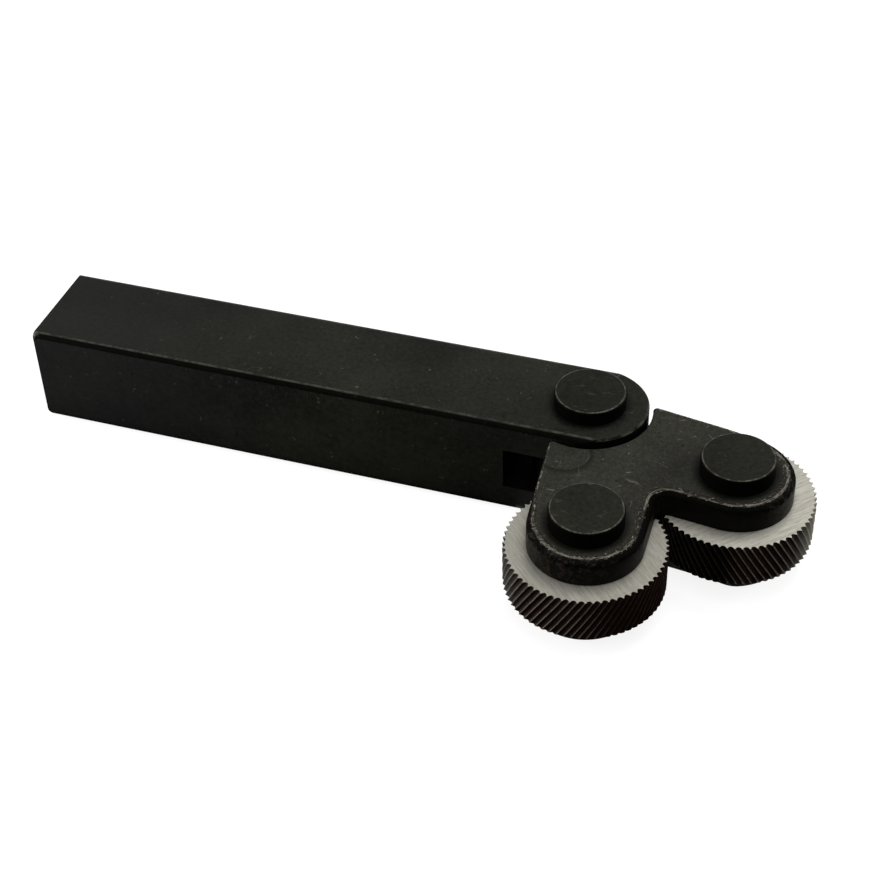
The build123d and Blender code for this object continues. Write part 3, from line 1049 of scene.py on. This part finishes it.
def matt(name, shade, roughness):
    """A grey material that reflects nothing sharply."""
    material = bpy.data.materials.new(name)
    material.use_nodes = True
    shader = material.node_tree.nodes["Principled BSDF"]
    shader.inputs["Base Color"].default_value = colour(shade, shade, shade)
    shader.inputs["Roughness"].default_value = roughness
    shader.inputs["Specular IOR Level"].default_value = 0.0
    return material


def sheet(name, half_width, height=0):
    """A level square about the Z axis."""
    bm = bmesh.new()
    bmesh.ops.create_grid(bm, x_segments=1, y_segments=1, size=half_width)
    bmesh.ops.translate(bm, verts=bm.verts, vec=(0, 0, height))
    return mesh_object(name, bm)


def make_floor():
    """A pale floor, white in the background, that keeps the tool's shadow."""
    floor = sheet("floor", 3, -FLOOR_DROP)
    material = matt("pale_floor", FLOOR_SHADE, 0.9)
    nodes, links = material.node_tree.nodes, material.node_tree.links
    shader = nodes["Principled BSDF"]
    shader.inputs["Emission Color"].default_value = colour(1, 1, 1)
    glow = nodes.new("ShaderNodeMath")
    glow.operation = "MULTIPLY"
    links.new(seen_directly(nodes, links), glow.inputs[0])
    glow.inputs[1].default_value = FLOOR_GLOW
    links.new(glow.outputs[0], shader.inputs["Emission Strength"])
    dress(floor, material)


def make_card(name, place, shade, dims_light):
    """A matt card that darkens reflections, unseen by the camera and casting no shadow.
    It takes diffuse light from the tool only where dims_light is true."""
    card = sheet(name, 0.5)
    card.matrix_world = place
    card.visible_camera = False
    card.visible_shadow = False
    card.visible_diffuse = dims_light
    dress(card, matt(name + "_matt", shade, 1.0))


def lying(x, y, turn, width, depth):
    """Place of a card on the floor, by the middle of its rear edge."""
    turned = Matrix.Translation((x, y, CARD_LIFT)) @ Matrix.Rotation(math.radians(turn), 4, "Z")
    return turned @ Matrix.Translation((0, -depth / 2, 0)) @ Matrix.Diagonal((width, depth, 1, 1))


def make_cards():
    """One card stands in front of the tool, and the others lie on the floor before the
    wheels and beside the shank."""
    standing = (
        Matrix.Translation((0.14, -0.42, 0.46))
        @ Matrix.Rotation(math.radians(15), 4, "Z")
        @ Matrix.Rotation(math.radians(62), 4, "X")
        @ Matrix.Diagonal((1.6, 1.0, 1, 1))
    )
    make_card("standing_card", standing, 0.01, dims_light=True)
    make_card("wheels_card", lying(0.074, -0.0245, 25, 1.2, 0.7), 0.03, dims_light=False)
    make_card("side_card", lying(-0.27, -0.001, 0, 0.63, 0.028), 0.03, dims_light=False)
    make_card("rear_card", lying(-0.30, -0.029, 0, 0.60, 0.5), 0.03, dims_light=False)


def light_world():
    """White where it is seen or reflected, and a faint light on everything else."""
    world = bpy.data.worlds.new("studio")
    world.use_nodes = True
    nodes, links = world.node_tree.nodes, world.node_tree.links
    strength = nodes.new("ShaderNodeMix")
    strength.data_type = "FLOAT"
    links.new(seen_directly(nodes, links), strength.inputs["Factor"])
    strength.inputs[2].default_value = WORLD_LIGHT
    strength.inputs[3].default_value = 1.0
    nodes["Background"].inputs["Color"].default_value = colour(1, 1, 1)
    links.new(strength.outputs[0], nodes["Background"].inputs["Strength"])
    bpy.context.scene.world = world


def soft_box(name, place, aim, width, power):
    """A square area light at a place, turned towards an aim."""
    light = bpy.data.lights.new(name, "AREA")
    light.shape = "RECTANGLE"
    light.size = light.size_y = width
    light.energy = power
    obj = bpy.data.objects.new(name, light)
    obj.location = place
    obj.rotation_euler = (Vector(aim) - Vector(place)).to_track_quat("-Z", "Y").to_euler()
    bpy.context.scene.collection.objects.link(obj)


def make_lamps():
    middle = (0.05, -0.01, 0)
    soft_box("overhead", (0.13, 0.11, 0.38), middle, 0.24, 1.15)
    soft_box("front", (0.10, -0.20, 0.40), middle, 0.24, 1.1)
    soft_box("front_left", (-0.18, -0.14, 0.08), (-0.04, 0, 0.01), 0.1, 0.4)
    soft_box("left_side", (-0.5, 0.0, 0.10), (0.05, -0.03, 0.01), 0.2, 2.8)
    soft_box("right_side", (0.42, 0.32, 0.08), (0.09, -0.01, 0.01), 0.2, 3.0)


def make_camera():
    """The view of the tool from its open side, a little above."""
    azimuth, elevation, roll = (
        math.radians(a) for a in (CAMERA_AZIMUTH, CAMERA_ELEVATION, CAMERA_ROLL)
    )
    aim = pivot + Vector((*AIM_FROM_PIVOT, 0)) * MM
    aim.z = AIM_HEIGHT * MM
    back = Vector((
        math.sin(azimuth) * math.cos(elevation),
        -math.cos(azimuth) * math.cos(elevation),
        math.sin(elevation),
    ))
    right = (-back).cross(Vector((0, 0, 1))).normalized()
    up = right.cross(-back)
    turned_right = right * math.cos(roll) + up * math.sin(roll)
    turned_up = up * math.cos(roll) - right * math.sin(roll)
    data = bpy.data.cameras.new("camera")
    data.sensor_width = SENSOR
    data.lens = LENS
    data.clip_start = 0.01
    camera = bpy.data.objects.new("camera", data)
    axes = Matrix((turned_right, turned_up, back)).transposed().to_4x4()
    camera.matrix_world = Matrix.Translation(aim + back * (CAMERA_DISTANCE * MM)) @ axes
    bpy.context.scene.collection.objects.link(camera)
    bpy.context.scene.camera = camera


dress(frame["nodes"]["shank"], black_steel("black_shank"))
make_pin("pivot_pin", "shank", pivot, SHANK_TOP, PIVOT_OXIDE_PAINTED_SHADE)
make_pin("right_hand_wheel_pin", "head", right_hand_axis, HEAD_TOP, PIN_OXIDE)
make_pin("left_hand_wheel_pin", "head", left_hand_axis, HEAD_TOP, PIN_OXIDE)
make_head()
# The left-hand wheel's faces and crests are painted brighter than the right-hand wheel's, as
# painted light
right_finish = knurl_steel(
    "right_hand_knurls_finish", right_hand_axis, grain=0.05, painted_shine=0.94,
    grease_and_shade=GREASE_AND_SHADE_BROWN, grease_and_shade_reach=(-9, -1), painted_light_reach=(-12.6, -13.6),
)
left_finish = knurl_steel(
    "left_hand_knurls_finish", left_hand_axis, grain=1.65, painted_shine=1.25,
    grease_and_shade=DEEP_OXIDE_AND_SHADE, grease_and_shade_reach=(4.5, 8.5), painted_light_reach=(-3.5, -10),
)
make_wheel(
    "right_hand_knurls", "right_hand_knurl_wheel", "right_hand_wheel",
    right_hand_axis, 1, right_finish,
)
make_wheel(
    "left_hand_knurls", "left_hand_knurl_wheel", "left_hand_wheel",
    left_hand_axis, -1, left_finish,
)
make_floor()
light_world()
make_cards()
make_lamps()
make_camera()
bpy.context.scene.view_settings.view_transform = "Standard"
